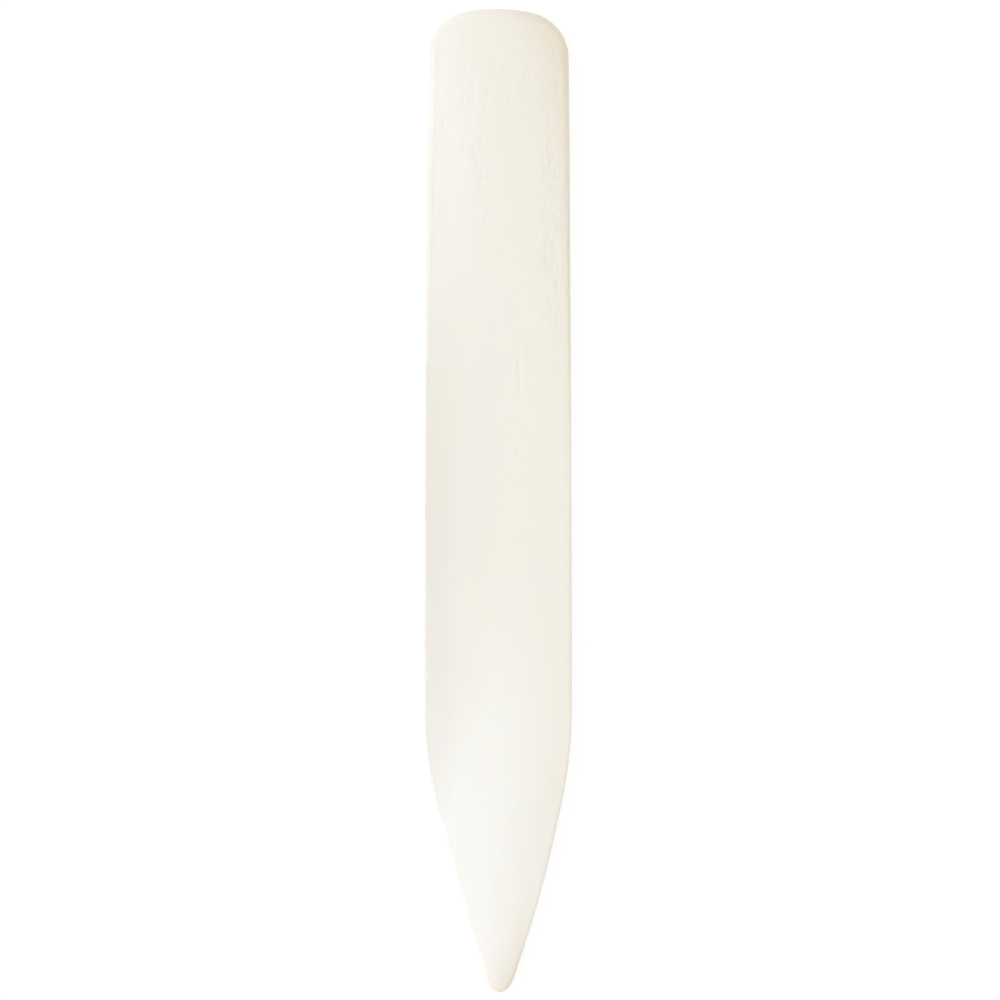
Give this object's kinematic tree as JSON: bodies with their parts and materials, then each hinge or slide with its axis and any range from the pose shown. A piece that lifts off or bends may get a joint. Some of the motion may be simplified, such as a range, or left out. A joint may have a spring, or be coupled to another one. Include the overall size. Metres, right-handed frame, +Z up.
{
  "type": "bone folder",
  "caption": "Flat slip of polished bone with a rounded head and a long pointed tip, for creasing, scoring and burnishing paper by hand.",
  "frame": {"origin": "on the flat underside, at the middle of the length and width", "axes": "+Y along the length towards the rounded head, with the point at -Y; +Z up out of the crowned top face; +X across the width, to the right when the head points away"},
  "size_m": [0.0228, 0.152, 0.0032],
  "materials": {
    "polished_bone": "satin"
  },
  "bodies": {
    "root": {"folder_blade": "polished_bone"}
  },
  "joints": []
}
